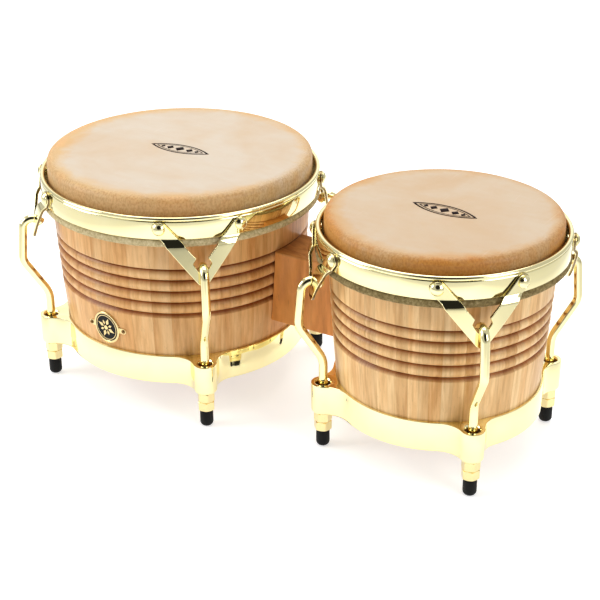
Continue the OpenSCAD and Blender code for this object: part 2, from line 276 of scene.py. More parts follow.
def tube(path, radius, sides=28):
    """A round bar along a path of (x, z, scale) in the XZ plane, with flat ends."""
    verts = []
    n = len(path)
    for i, (x, z, k) in enumerate(path):
        a = path[max(i - 1, 0)]
        b = path[min(i + 1, n - 1)]
        t = Vector((b[0] - a[0], b[1] - a[1])).normalized()
        for s in range(sides):
            f = 2 * pi * s / sides
            off = radius * k * cos(f)
            verts.append((x + t.y * off, radius * k * sin(f), z - t.x * off))
    return verts, capped(n, sides)


def pointing_out(verts, a, base):
    """Lays a shape turned about Z along the level direction a, from a base point."""
    x0, y0, z0 = base
    return [(x0 + n * cos(a) - y * sin(a), y0 + n * sin(a) + y * cos(a), z0 - x)
            for x, y, n in verts]


def stand(node):
    """The middle of a node's underside, its radius and its height."""
    low, high = box_mm(node)
    middle = ((low.x + high.x) / 2, (low.y + high.y) / 2, low.z)
    return middle, (high.x - low.x) / 2, high.z - low.z


def fill_loops(bm, loops):
    """Fills the flat region between loops of vertices."""
    edges = []
    for loop in loops:
        for a, b in zip(loop, loop[1:] + loop[:1]):
            edges.append(bm.edges.get((a, b)) or bm.edges.new((a, b)))
    bmesh.ops.triangle_fill(bm, use_beauty=True, use_dissolve=False, edges=edges)


def join(parts):
    """Merges lists of (verts, faces) into one."""
    verts, faces = [], []
    for v, f in parts:
        n = len(verts)
        verts += v
        faces += [[i + n for i in face] for face in f]
    return verts, faces


# ---- materials

class Nodes:
    """Short names for building a material's node tree."""

    def __init__(self, name):
        self.material = bpy.data.materials.new(name)
        self.material.use_nodes = True
        self.tree = self.material.node_tree
        self.shader = self.tree.nodes["Principled BSDF"]

    def link(self, source, target):
        self.tree.links.new(source, target)

    def set(self, **values):
        for key, value in values.items():
            name = key.replace("_", " ")
            socket = self.shader.inputs[name]
            if isinstance(value, bpy.types.NodeSocket):
                self.link(value, socket)
            else:
                socket.default_value = value
        return self

    def node(self, kind, *inputs, **settings):
        n = self.tree.nodes.new("ShaderNode" + kind)
        for key, value in settings.items():
            setattr(n, key, value)
        for i, value in enumerate(inputs):
            if isinstance(value, bpy.types.NodeSocket):
                self.link(value, n.inputs[i])
            else:
                n.inputs[i].default_value = value
        return n

    def math(self, operation, *inputs):
        return self.node("Math", *inputs, operation=operation).outputs[0]

    def times(self, a, b):
        return self.math("MULTIPLY", a, b)

    def plus(self, a, b):
        return self.math("ADD", a, b)

    def minus(self, a, b):
        return self.math("SUBTRACT", a, b)

    def tint(self, colour, by):
        return self.mix(1.0, colour, by, "MULTIPLY")

    def coords(self):
        return self.node("TexCoord").outputs["Object"]

    def object_xyz(self):
        """Object coordinates, then their three parts."""
        coords = self.coords()
        return coords, *self.node("SeparateXYZ", coords).outputs

    def vector(self, x=0.0, y=0.0, z=0.0):
        return self.node("CombineXYZ", x, y, z).outputs[0]

    def noise(self, vector, scale, detail=3.0, rough=0.5, distortion=0.0):
        n = self.node("TexNoise")
        self.link(vector, n.inputs["Vector"])
        n.inputs["Scale"].default_value = scale
        n.inputs["Detail"].default_value = detail
        n.inputs["Roughness"].default_value = rough
        n.inputs["Distortion"].default_value = distortion
        return n.outputs["Fac"]

    def ramp(self, value, *stops):
        """Colour along a value: stops are (position, colour or grey)."""
        n = self.node("ValToRGB", value)
        while len(n.color_ramp.elements) < len(stops):
            n.color_ramp.elements.new(0.5)
        for element, (position, colour) in zip(n.color_ramp.elements, stops):
            element.position = position
            c = colour if isinstance(colour, tuple) else (colour,) * 3
            element.color = (*c, 1)
        return n.outputs[0]

    def mix(self, factor, a, b, blend="MIX"):
        n = self.node("Mix", data_type="RGBA", blend_type=blend)
        for socket, value in ((n.inputs[0], factor), (n.inputs[6], a), (n.inputs[7], b)):
            if isinstance(value, bpy.types.NodeSocket):
                self.link(value, socket)
            elif isinstance(value, tuple):
                socket.default_value = (*value, 1)
            else:
                socket.default_value = value
        return n.outputs[2]

    def bump(self, height, strength, distance):
        n = self.node("Bump")
        n.inputs["Strength"].default_value = strength
        n.inputs["Distance"].default_value = distance * MM
        self.link(height, n.inputs["Height"])
        return n.outputs[0]


def gold_material(name, colour, rough, smear=0.0):
    m = Nodes(name)
    coords = m.coords()
    cloud = m.noise(coords, 55, 2)
    worn = tuple(c * k for c, k in zip(colour, (0.98, 0.95, 0.86)))
    m.set(Base_Color=m.mix(cloud, colour, worn), Metallic=1.0)
    m.set(Roughness=m.ramp(m.noise(coords, 240, 3), (0.35, rough), (0.7, rough + smear)))
    m.set(Normal=m.bump(m.noise(coords, 90, 2), 0.25, 0.1))
    return m.material


def wood_material(name, light, mid, dark, strips, seed, contrast, turned_round=True, painted_shade_above=None):
    """Lacquered wood in glued strips that run along Z, with painted shade darkening it above a height."""
    m = Nodes(name)
    _, x, y, z = m.object_xyz()
    if turned_round:
        angle = m.math("ARCTAN2", y, x)
        across = m.times(angle, strips / (2 * pi))
        arc_length = m.times(angle, 0.1)
    else:
        across = m.times(y, strips)
        arc_length = m.plus(y, m.times(x, 0.35))
    wander = m.noise(m.vector(m.times(across, 0.35), 0.0, float(seed)), 1.0, 1)
    across = m.plus(across, m.times(wander, 1.6))
    strip = m.math("FLOOR", across)
    tone = m.node("TexWhiteNoise", m.vector(strip, float(seed), 0.5)).outputs["Value"]
    depth = m.math("SQRT", m.plus(m.times(x, x), m.times(y, y)))
    grain_at = m.vector(m.plus(arc_length, m.times(strip, 0.37)), m.times(depth, 0.6), m.times(z, 0.085))
    broad = m.noise(grain_at, 70, 3, 0.5, 0.8)
    fine = m.noise(grain_at, 380, 3, 0.55, 0.2)
    pore_at = m.vector(arc_length, depth, m.times(z, 0.12))
    pores = m.noise(pore_at, 1300, 2, 0.6)
    figure = m.plus(m.times(broad, 0.7), m.times(fine, 0.3))
    colour = m.ramp(figure, (0.33, dark), (0.48, mid), (0.63, light))
    shade = m.ramp(tone, (0.0, 1 - contrast), (0.5, 1.0), (1.0, 1 + contrast * 0.6))
    colour = m.tint(colour, shade)
    warm = m.node("TexWhiteNoise", m.vector(strip, float(seed), 3.5)).outputs["Value"]
    redder = m.tint(colour, (1.0, 0.88, 0.72))
    colour = m.mix(m.times(warm, contrast * 2), colour, redder)
    colour = m.tint(colour, m.ramp(pores, (0.26, 0.80), (0.38, 1.0)))
    colour = m.tint(colour, m.ramp(fine, (0.36, 0.93), (0.50, 1.0), (0.64, 1.04)))
    near_joint = m.math("ABSOLUTE", m.minus(m.math("FRACT", across), 0.5))
    colour = m.tint(colour, m.ramp(near_joint, (0.475, 1.0), (0.497, 0.90)))
    # painted shade in the grooves and under the beads, read from a point attribute, darkens the wood
    groove = m.node("Attribute", attribute_name="groove").outputs["Fac"]
    colour = m.mix(groove, colour, m.tint(colour, (0.37, 0.175, 0.08)))
    # painted shade on the top face, where the block lies in shade between the shells
    if painted_shade_above:
        colour = m.tint(colour, m.ramp(z, (painted_shade_above, 1.0), (painted_shade_above + 0.8 * MM, 0.29)))
    m.set(Base_Color=colour, Roughness=0.45, Specular_IOR_Level=0.2)
    m.set(Normal=m.bump(m.plus(fine, m.times(pores, 0.4)), 0.2, 0.1))
    m.set(Coat_Weight=0.22, Coat_Roughness=0.14, Coat_IOR=1.45)
    return m.material


def rawhide_material(name, centre, mid, edge, drum, seed):
    """Skin that is pale in the middle and darkens in blotches over its shoulder."""
    m = Nodes(name)
    coords, x, y, z = m.object_xyz()
    # the head's mesh is stored about the origin of the pair, so its own axis is taken off
    x = m.minus(x, drum.x * MM)
    r = m.math("SQRT", m.plus(m.times(x, x), m.times(y, y)))
    flat = m.vector(m.plus(x, float(seed)), y, m.times(z, 0.6))
    cloud = m.noise(flat, 13, 4, 0.55, 0.7)
    mottle = m.noise(flat, 75, 5, 0.62, 0.3)
    speck = m.noise(flat, 700, 3, 0.6)
    share = m.math("DIVIDE", r, drum.skin_r * MM)
    uneven = m.plus(m.times(m.minus(mottle, 0.5), 0.10),
                    m.times(m.minus(cloud, 0.5), 0.30))
    # the hide is darker towards -X, and a little towards -Y
    lean = m.times(m.plus(m.times(x, -0.92), m.times(y, -0.2)), 0.42)
    at = m.plus(m.plus(share, uneven), lean)
    colour = m.ramp(at, (0.0, centre), (0.84, centre), (0.955, mid), (1.0, edge))
    tan_cloud = m.ramp(cloud, (0.40, 0.0), (0.66, 1.0))
    tanned = m.tint(colour, (0.95, 0.80, 0.62))
    colour = m.mix(m.times(tan_cloud, 0.75), colour, tanned)
    streak_at = m.node("Mapping", coords)
    streak_at.inputs["Rotation"].default_value = (0, 0, -0.45)
    streak_at.inputs["Scale"].default_value = (0.3, 1.0, 1.0)
    streak = m.ramp(m.noise(streak_at.outputs[0], 90, 4, 0.6, 0.5), (0.40, 0.0), (0.68, 1.0))
    colour = m.mix(m.times(streak, 0.28), colour, tanned)
    near_edge = m.ramp(share, (0.90, 0.0), (0.97, 1.0))
    grainy = m.times(near_edge, m.ramp(speck, (0.42, 0.0), (0.62, 1.0)))
    spotted = m.tint(colour, (0.74, 0.60, 0.43))
    colour = m.mix(m.times(grainy, 0.7), colour, spotted)
    stretch = m.node("Mapping", coords)
    stretch.inputs["Rotation"].default_value = (0, 0, 0.9 + seed)
    stretch.inputs["Scale"].default_value = (1.0, 0.05, 1.0)
    scratch = m.noise(stretch.outputs[0], 420, 2, 0.5, 0.4)
    hair = m.ramp(scratch, (0.70, 0.0), (0.74, 1.0))
    pale = m.mix(0.5, colour, (0.9, 0.85, 0.76))
    colour = m.mix(m.times(hair, 0.12), colour, pale)
    m.set(Base_Color=colour)
    m.set(Roughness=m.ramp(mottle, (0.3, 0.42), (0.7, 0.54)))
    m.set(Normal=m.bump(m.plus(mottle, m.times(speck, 0.25)), 0.25, 0.2))
    m.set(Subsurface_Weight=0.05, Subsurface_Radius=(1.0, 0.5, 0.25), Subsurface_Scale=0.002)
    m.set(Specular_IOR_Level=0.4)
    return m.material


def rough_edge_material(name, dark, mid, light):
    m = Nodes(name)
    coords = m.coords()
    fibres = m.noise(coords, 420, 5, 0.7, 0.4)
    patches = m.noise(coords, 60, 3)
    colour = m.ramp(fibres, (0.30, dark), (0.5, mid), (0.70, light))
    greener = m.tint(colour, (0.88, 0.93, 0.78))
    m.set(Base_Color=m.mix(m.times(patches, 0.6), colour, greener))
    m.set(Roughness=0.85, Specular_IOR_Level=0.2)
    m.set(Normal=m.bump(fibres, 0.6, 0.5))
    return m.material


def plain_material(name, colour, rough, metallic=0.0, grain=0.0, scale=300, **extra):
    m = Nodes(name)
    coords = m.coords()
    cloud = m.noise(coords, scale, 4)
    m.set(Base_Color=m.mix(cloud, colour, tuple(c * 0.82 for c in colour)))
    m.set(Metallic=metallic, Roughness=rough, **extra)
    if grain:
        m.set(Normal=m.bump(cloud, 0.5, grain))
    return m.material


GOLD = gold_material("gold_plate", (0.96, 0.89, 0.53), 0.04, 0.04)
# the brackets' cut edges: a rougher gold, painted dark as the shade and dark reflections along the plate's
# thickness
CUT_EDGE_SHADE_GOLD = gold_material("cut_edge_gold", (0.20, 0.135, 0.055), 0.2, 0.08)
# the ears' bores: gold painted dark brown as the shade inside the holes
BORE_SHADE_GOLD = gold_material("bore_gold", (0.34, 0.19, 0.075), 0.42, 0.1)
NUT_GOLD = gold_material("nut_brass", (0.88, 0.76, 0.41), 0.1, 0.06)
BADGE_GOLD = gold_material("badge_brass", (0.80, 0.64, 0.33), 0.22, 0.1)
NAIL_BRASS = gold_material("nail_brass", (0.20, 0.115, 0.045), 0.35, 0.1)
SHELL_WOOD = {
    "big": wood_material(
        "shell_wood_big", (0.80, 0.50, 0.23), (0.71, 0.39, 0.145), (0.59, 0.27, 0.08),
        strips=46, seed=3, contrast=0.07),
    "small": wood_material(
        "shell_wood_small", (0.87, 0.60, 0.30), (0.77, 0.47, 0.20), (0.62, 0.32, 0.105),
        strips=62, seed=8, contrast=0.14),
}
# the block's top face is painted darker, as the shade between the two shells
BLOCK_WOOD = wood_material(
    "block_wood", (0.80, 0.34, 0.085), (0.68, 0.26, 0.055), (0.48, 0.155, 0.027),
    strips=12, seed=5, contrast=0.05, turned_round=False,
    painted_shade_above=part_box("centre_block")[1].z - 1 * MM)
HIDE = {
    "big": rawhide_material(
        "big_rawhide", (0.565, 0.475, 0.37), (0.61, 0.41, 0.19), (0.69, 0.44, 0.20), BIG, 1),
    "small": rawhide_material(
        "small_rawhide", (0.54, 0.42, 0.29), (0.55, 0.335, 0.14), (0.56, 0.265, 0.055), SMALL, 4),
}
HIDE_EDGE = {
    "big": rough_edge_material(
        "big_rolled_edge", (0.36, 0.27, 0.14), (0.60, 0.48, 0.27), (0.77, 0.66, 0.42)),
    "small": rough_edge_material(
        "small_rolled_edge", (0.11, 0.075, 0.027), (0.25, 0.18, 0.075), (0.42, 0.32, 0.155)),
}
STEEL = plain_material("plain_steel", (0.62, 0.62, 0.60), 0.3, 1.0, 0.05)
RUBBER = plain_material(
    "foot_rubber", (0.004, 0.004, 0.0035), 0.55, grain=0.15, scale=900, Specular_IOR_Level=0.18)
ENAMEL = plain_material("badge_enamel", (0.008, 0.008, 0.007), 0.5, Specular_IOR_Level=0.15)
INK = plain_material("head_ink", (0.022, 0.013, 0.012), 0.8, scale=700, Specular_IOR_Level=0.08)


def piece(obj, body, slot, *replaced):
    """Attaches a finished piece to its body and hides the CAD nodes that it replaces."""
    if replaced:
        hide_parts(*replaced)
    if body:
        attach(obj, body)
    return obj


# ---- shells

GROOVE_TOP = 133.9
GROOVE_PITCH = 10.0
GROOVE_DEPTH = 3.0
GROOVES = 5
WALL = 10.0


def straight(drum, start, end, inside):
    """The wall between two heights, some way inside its outer face, with no painted shade."""
    heights = [start + (end - start) * i / 8 for i in range(9)]
    return [(drum.shell_r(z) - inside, z, 0.0) for z in heights]


def shell_profile(drum):
    """Outline of the wall as (r, z, painted shade), from the bearing edge round to the inside. The painted
    shade is darkest in each hollow between the beads and over the lower half of each bead.
    """
    top, r_top = drum.shell_top, drum.shell_top_r
    bearing = CROWN_ROUND - 2
    pts = [(r, z, 0.0) for r, z in arc(r_top - bearing, top - bearing, bearing, 90, 0, 8)]
    lip = GROOVE_TOP + 1.5
    pts += straight(drum, 186, lip, 0.0)[1:]
    edge_r = drum.shell_r(lip)
    # painted shade starts under the lip above the first bead
    pts += [(edge_r - 0.12, lip - 0.45, 0.15), (edge_r - 0.6, lip - 0.85, 0.6)]
    half = GROOVE_PITCH / 2
    ball = (half ** 2 + GROOVE_DEPTH ** 2) / 2 / GROOVE_DEPTH
    for k in range(GROOVES - 1):
        start = GROOVE_TOP - k * GROOVE_PITCH
        for i in range(0 if k == 0 else 1, 13):
            s = GROOVE_PITCH * (i / 12 - 0.5)
            z = start - GROOVE_PITCH * i / 12
            rise = sqrt(ball ** 2 - s * s) - (ball - GROOVE_DEPTH)
            # painted shade: dark in the hollow where two beads meet, and over the lower half of each bead
            under = max(0.0, -s / half)
            shade = min(1.0, max(0.0, 1 - rise / 1.4) ** 1.3 + under ** 1.6)
            pts.append((drum.shell_r(z) - GROOVE_DEPTH + rise, z, shade))
    low = GROOVE_TOP - (GROOVES - 1) * GROOVE_PITCH
    # painted shade fading out over the chamfer under the lowest bead
    for f, shade in ((0.35, 0.9), (0.8, 0.35), (0.97, 0.08)):
        pts.append((drum.shell_r(low - 3 * f) - GROOVE_DEPTH * (1 - f), low - 3.1 * f, shade))
    bottom = drum.shell_bottom
    pts += straight(drum, low - 3.6, bottom + 1, 0.0)
    pts += [(drum.shell_r(bottom) - 1, bottom, 0.0), (drum.shell_r(bottom) - WALL + 1, bottom, 0.0)]
    pts += straight(drum, bottom + 1, 159, WALL)
    pts += [(r_top - WALL, top - 6, 0.0), (r_top - 6.5, top - 1.8, 0.0)]
    return pts


def paint_groove_shade(obj, values):
    """Gives each point the painted shade of the grooves, which the wood material reads."""
    attribute = obj.data.attributes.new("groove", "FLOAT", "POINT")
    attribute.data.foreach_set("value", values)


def build_shell(drum):
    profile = shell_profile(drum)
    segments = 216
    outline = [(r, z) for r, z, _ in profile]
    wood = SHELL_WOOD[drum.name]
    obj = turned(drum.name + "_turned_shell", outline, wood, drum.origin(), segments, sharp=28)
    paint_groove_shade(obj, [shade for _, _, shade in profile for _ in range(segments)])
    piece(obj, ROOT, "shell_wood", drum.name + "_shell")


# ---- heads

def build_head(drum):
    """The skin with its turn into the roll as one mesh, and the roll as another."""
    r, top, t = drum.skin_r, drum.crown, HEAD_T
    centre = drum.roll_out - ROLL_R
    side_z = (166.5, 169, 172, 175, 178, 182)
    outer = [(0, top)]
    outer += [(r * f, top) for f in (0.06, 0.14, 0.24, 0.36, 0.48, 0.6, 0.7, 0.79, 0.86, 0.92)]
    outer += arc(r - CROWN_ROUND, top - CROWN_ROUND, CROWN_ROUND, 88, 2, 14)
    outer += [(r, z) for z in reversed(side_z)]
    outer += arc(r + 2.2, 164.6, 2.2, 180, 262, 5)
    outer += [(centre, 162.3)]
    inner = [(centre, 160.6)]
    inner += arc(r + 2.2, 164.6, 3.9, 258, 180, 5)
    inner += [(r - 1.7, z) for z in side_z]
    inner += arc(r - CROWN_ROUND, top - CROWN_ROUND, CROWN_ROUND - t, 2, 88, 10)
    inner += [(r * 0.6, top - t), (r * 0.3, top - t), (0, top - t)]

    def wobble(a, rr, z):
        wave = noise.noise(Vector((rr * cos(a) / 38, rr * sin(a) / 38, drum.x / 50)))
        fold = noise.noise(Vector((cos(a) * 3.1, sin(a) * 3.1, z / 18)))
        side = min(1.0, max(0.0, (rr / r - 0.8) / 0.2))
        low = 1.0 if z > 168 else 0.0
        return rr - abs(fold) * 0.35 * side * low, z - (0.12 + 0.12 * wave) * (1 if z > top - 4 else 0)

    obj = turned(drum.name + "_drum_head", outer + inner, HIDE[drum.name], drum.origin(), 216,
                 closed=False, sharp=60, wobble=wobble)
    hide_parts(drum.name + "_head_skin")
    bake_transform(obj)

    def knobbly(a, rr, z):
        lump = noise.noise(Vector((cos(a) * 9, sin(a) * 9, drum.x + z / 4)))
        fuzz = noise.noise(Vector((rr * cos(a) / 1.6, rr * sin(a) / 1.6, z / 1.6)))
        k = 0.93 + 0.055 * lump + 0.05 * fuzz
        return centre + (rr - centre) * k, drum.roll_z + (z - drum.roll_z) * k

    roll = arc(centre, drum.roll_z, ROLL_R, 0, 360 - 360 / 18, 17)
    obj = turned(drum.name + "_rolled_edge", roll, HIDE_EDGE[drum.name], drum.origin(), 480,
                 sharp=80, wobble=knobbly)
    piece(obj, drum.body, "rawhide_edge", drum.name + "_head_collar")


def build_ornament(drum, turn):
    """A plain printed figure: a lens-shaped frame with five diamonds."""
    half, rise, line = 28.0, 9.0, 1.4
    z = drum.crown - 0.02

    def lens(shrink):
        h, k = half - shrink * 2.2, rise - shrink
        b = (h ** 2 + k ** 2) / 2 / k
        a = math.degrees(math.asin(h / b))
        upper = arc(0, k - b, b, 90 + a, 90 - a, 24)
        lower = arc(0, b - k, b, 270 + a, 270 - a, 24)
        return upper[:-1] + lower[:-1]

    def strip(outer, inner):
        return [(x, y, z) for x, y in outer + inner], skin(2, len(outer))

    def diamond(x, size):
        pts = [(x + size, 0), (x, size * 1.15), (x - size, 0), (x, -size * 1.15)]
        return [(a, b, z) for a, b in pts], [(0, 1, 2, 3)]

    parts = [strip(lens(0), lens(line)), strip(lens(line * 1.8), lens(line * 2.3))]
    parts += [diamond(x, size) for x, size in ((0, 4.2), (9.2, 3.2), (-9.2, 3.2), (16, 2), (-16, 2))]
    verts, faces = join(parts)
    obj = mesh_object(drum.name + "_printed_ornament", verts, faces, INK, drum.origin(), turn, recalc=False)
    thick = obj.modifiers.new("Film", "SOLIDIFY")
    thick.thickness = 0.06 * MM
    thick.offset = 1
    piece(obj, ROOT, drum.name + "_rawhide")


# ---- rims

def build_rim(drum):
    """A flat band under a rolled lip."""
    inner, outer, top, low = drum.rim_in, drum.rim_out, drum.rim_top, drum.rim_bottom
    section = [(outer - 0.5, low), (outer - 0.15, low + 0.15), (outer, low + 0.5),
               (outer, top - 4.2), (outer - 0.05, top - 3.9)]
    section += arc(inner + RIM_LIP, top - RIM_LIP, RIM_LIP, -52, 232, 22)
    section += [(inner + 0.55, top - 3.9), (inner + 0.5, top - 4.2), (inner + 0.5, low + 0.5),
                (inner + 0.65, low + 0.15), (inner + 1.0, low)]
    obj = turned(drum.name + "_rolled_rim", section, GOLD, drum.origin(), 256, sharp=50)
    piece(obj, drum.body, "gold_plate", drum.name + "_rim")


# ---- brackets

RIVET_Z = 173.5
RIVET_T = 31.3
VERTEX_Z = 136.0
ARM_HALF = 5.5


def seat_height(drum):
    """Height of the hook's seat in the brackets, under the inside of the hook's bend."""
    inner = sqrt((HOOK_R - ROD_R) ** 2 - (HOOK_CENTRE[0] - drum.seat_out) ** 2)
    return HOOK_CENTRE[1] + inner - 0.3


def bracket_outline(drum):
    """The V seen from outside, as (along the wall, height): pads, arms, vertex and hook pocket."""
    u = Vector((RIVET_T, RIVET_Z - VERTEX_Z)).normalized()
    heading = math.degrees(atan2(u.y, u.x))
    right = arc(RIVET_T, RIVET_Z, ARM_HALF, heading - 90, heading + 90, 14)
    crotch = VERTEX_Z + ARM_HALF / u.x
    seat = seat_height(drum)

    def arm_edge(z):
        return (z - crotch) * u.x / u.y

    top = seat + 11.2
    corners = [(arm_edge(top + 6), top + 6, 0), (arm_edge(top), top, 0.8), (7.3, seat + 7.2, 0.9),
               (3.9, seat + 1.4, 1.2), (2.2, seat, 1.5)]
    mirrored = [(-x, z, r) for x, z, r in reversed(corners)]
    pocket = rounded(corners + mirrored, 4, closed=False)
    left = [(-x, y) for x, y in reversed(right)]
    low = arc(0, VERTEX_Z - 1.4, ARM_HALF + 0.7, 180 + heading, 360 - heading, 10)
    return right + pocket + left + low


def band_profile(drum):
    """Inner face of the bracket as (height, distance from the axis), going down."""
    on_rim = drum.rim_out + 0.1
    corners = [(on_rim, 184, 0), (on_rim, 164.6, 3), (drum.rim_out + JOG_OUT, JOG_Z, 3),
               (drum.plate_low, PLATE_Z, 0)]
    return [(z, n) for n, z in rounded(corners, 6, closed=False)]


def lookup(table, z):
    """Value and slope of a table of (z, n) that goes down."""
    for (z0, n0), (z1, n1) in zip(table, table[1:]):
        if z >= z1 or (z1, n1) == table[-1]:
            k = (z - z0) / (z1 - z0)
            return n0 + (n1 - n0) * k, (n1 - n0) / (z1 - z0)


def build_bracket(drum, lug):
    """The flat V, cut into a grid, thickened, and wrapped round the drum along the band's profile."""
    bm = bmesh.new()
    bm.faces.new([bm.verts.new((x, y, 0)) for x, y in bracket_outline(drum)])
    heights = [130 + 3.3 * i for i in range(9)]
    heights += [158.6, 159.6, 160.6, 161.8, 163, 164.2, 165, 166, 169, 172, 175]
    cuts = [((i * 4.1 + 0.03, 0, 0), (1, 0, 0)) for i in range(-8, 9)]
    cuts += [((0, h + 0.017, 0), (0, 1, 0)) for h in heights]
    for point, normal in cuts:
        geometry = bm.verts[:] + bm.edges[:] + bm.faces[:]
        bmesh.ops.bisect_plane(bm, geom=geometry, plane_co=point, plane_no=normal, dist=1e-5)
    # the cuts leave some very short edges, which would hold the bevel's width back
    bmesh.ops.remove_doubles(bm, verts=bm.verts, dist=0.3)
    table = band_profile(drum)
    result = bmesh.ops.extrude_face_region(bm, geom=bm.faces[:])
    raised = {v for v in result["geom"] if isinstance(v, bmesh.types.BMVert)}
    for v in bm.verts:
        n, slope = lookup(table, v.co.y)
        outward = Vector((1, -slope)).normalized()
        lift = BRACKET_T if v in raised else 0.0
        n2 = n + outward.x * lift
        z2 = v.co.y + outward.y * lift
        t = v.co.x
        v.co = Vector((sqrt(n2 * n2 - t * t), t, z2)) * MM
    # the sides, between the inner and the outer face, have the second material: a rougher gold for the cut
    # edges, painted near black as shade and dark reflection
    for face in bm.faces:
        lifted = sum(v in raised for v in face.verts)
        face.material_index = int(0 < lifted < len(face.verts))
    name = f"{drum.name}_v_bracket_{lug}"
    obj = object_of(bm, name, (GOLD, CUT_EDGE_SHADE_GOLD), drum.origin(), drum.lugs[lug], 45)
    edge = bevel(obj, 0.5, 4, 60)
    edge.material = 0
    edge.use_clamp_overlap = False
    piece(obj, drum.body, "gold_plate", f"{drum.name}_bracket_{lug}")


def build_rivets(drum):
    """Domed heads outside the brackets, with their shanks and tails inside the rim."""
    out = drum.rim_out + BRACKET_T + 0.12
    tail = drum.rim_in
    profile = [(0, tail - 0.85), (3.6, tail - 0.85), (4.0, tail - 0.6), (4.0, tail + 0.3),
               (2.5, tail + 0.35), (2.5, out), (4.5, out), (4.85, out + 0.25), (4.85, out + 0.6)]
    dome_r, dome_rise = 4.7, 2.2
    dome = (dome_r ** 2 + dome_rise ** 2) / 2 / dome_rise
    edge = math.degrees(math.asin(dome_r / dome))
    profile += [(r, out + h) for r, h in arc(0, 2.75 - dome, dome, 90 - edge, 90, 9)]
    profile[-1] = (0, out + 2.75)
    parts = []
    for angle in drum.lugs.values():
        for side in (-1, 1):
            a = angle + side * math.asin(RIVET_T / (drum.rim_out + BRACKET_T / 2))
            verts, faces = revolve(profile, 32, closed=False)
            parts.append((pointing_out(verts, a, (0, 0, RIVET_Z)), faces))
    verts, faces = join(parts)
    obj = mesh_object(drum.name + "_domed_rivets", verts, faces, GOLD, drum.origin(), sharp=38)
    piece(obj, drum.body, "gold_plate", drum.name + "_rim_rivets")


# ---- rods, nuts and tips

def rod_path():
    """Centreline of the bar above its thread as (outwards from the lug, height, scale)."""
    line = [(0, THREAD_TOP, 0), (0, KNEE_Z, 22), (BOW_OUT, BOW_Z, 14), (HOOK_OUT, HOOK_Z, 0)]
    path = [(x, z, 1.0) for x, z in rounded(line, 9, closed=False)]
    first = math.degrees(HOOK_LEAN)
    for x, z in arc(*HOOK_CENTRE, HOOK_R, first, first + 130, 20)[1:]:
        path.append((x, z, 1.0))
    heading = radians(first + 130 + 90)
    x, z, _ = path[-1]
    for s, k in ((1.5, 1.0), (2.45, 1.0), (2.8, 0.93), (3.0, 0.8)):
        path.append((x + cos(heading) * s, z + sin(heading) * s, k))
    return path


def thread(radius, low, high, steps=24):
    """A closed bar with a right-handed thread about Z, between two heights."""
    shape = ((0.0, 0.0), (0.12, 0.0), (0.5, 0.62), (0.62, 0.62))
    columns = int((high - low) / THREAD_PITCH) * len(shape)
    verts, faces, index = [], [], {}

    def vert(step, column):
        """Number of a point; a full turn brings the helix one pitch up its own column."""
        if step == steps:
            step, column = 0, column + len(shape)
        if (step, column) not in index:
            turn, k = divmod(column, len(shape))
            share, depth = shape[k]
            z = low + (turn + share + step / steps - 0.5) * THREAD_PITCH
            r = radius - depth * min(1.0, max(0.0, (high - 1.5 - z) / 3))
            a = 2 * pi * step / steps
            index[step, column] = len(verts)
            verts.append((r * cos(a), r * sin(a), z))
        return index[step, column]

    for i in range(steps):
        for j in range(columns):
            faces.append((vert(i, j), vert(i + 1, j), vert(i + 1, j + 1), vert(i, j + 1)))
    for end in (0, columns):
        faces.append([vert(i, end) for i in range(steps)]
                     + [vert(0, end + k) for k in range(len(shape), 0, -1)])
    return verts, faces


def build_rod(drum, lug):
    bar = tube(rod_path(), ROD_R)
    screw = thread(ROD_R - 0.03, ROD_END + 1, THREAD_TOP + 2)
    verts, faces = join([bar, screw])
    angle = drum.lugs[lug]
    origin = (drum.x + drum.lug_r * cos(angle), drum.lug_r * sin(angle), 0)
    name = f"{drum.name}_hooked_rod_{lug}"
    obj = mesh_object(name, verts, faces, GOLD, origin, angle, sharp=40)
    piece(obj, drum.body, "gold_plate", f"{drum.name}_tuning_rod_{lug}")


def nut_mesh(flats, height, bore):
    """A hexagonal nut with rounded corners, chamfered faces and a countersunk bore."""
    half = flats / 2
    angles, radii = [], []
    for side in range(6):
        middle = side * pi / 3
        for k in range(-6, 7):
            a = k / 6 * (pi / 6 - 0.03)
            angles.append(middle + a)
            radii.append(half / cos(a))
        angles.append(middle + pi / 6)
        radii.append(half / cos(pi / 6) - 0.08)
    n = len(angles)
    face_r = half * 0.955
    chamfer = [max(0.05, (r - face_r) * 0.5) for r in radii]
    levels = [[(bore, 0.5)] * n, [(bore + 0.5, 0)] * n, [(face_r, 0)] * n, list(zip(radii, chamfer)),
              [(r, height - drop) for r, drop in zip(radii, chamfer)], [(face_r, height)] * n,
              [(bore + 0.5, height)] * n, [(bore, height - 0.5)] * n]
    verts = []
    for level in levels:
        for a, (r, z) in zip(angles, level):
            verts.append((r * cos(a), r * sin(a), z))
    return verts, skin(len(levels), n, closed=True)


def build_nut(drum, lug, kind, turn):
    node = f"{drum.name}_{kind}_{lug}"
    origin, _, height = stand(node)
    verts, faces = nut_mesh(NUT_FLATS, height, ROD_R + 0.04)
    name = f"{drum.name}_hex_{kind}_{lug}"
    obj = mesh_object(name, verts, faces, NUT_GOLD, origin, drum.lugs[lug] + turn, sharp=22)
    piece(obj, f"{drum.name}_nuts_{lug}", "nut_brass", node)


def build_tip(drum, lug):
    node = f"{drum.name}_rubber_tip_{lug}"
    origin, r, top = stand(node)
    bore = ROD_R - 0.1
    profile = [(0, 0)] + arc(1.6, r - 1.6, r - 1.6, -90, 0, 12)
    profile += [(r, 8), (r - 0.05, top - 0.7), (r - 0.3, top - 0.2), (r - 0.8, top),
                (ROD_R + 0.3, top), (bore, top - 0.4), (bore, ROD_END), (0, ROD_END)]
    name = f"{drum.name}_rubber_foot_{lug}"
    obj = turned(name, profile, RUBBER, origin, 40, closed=False, sharp=40)
    piece(obj, drum.body, "foot_rubber", node)


# ---- bottom rings

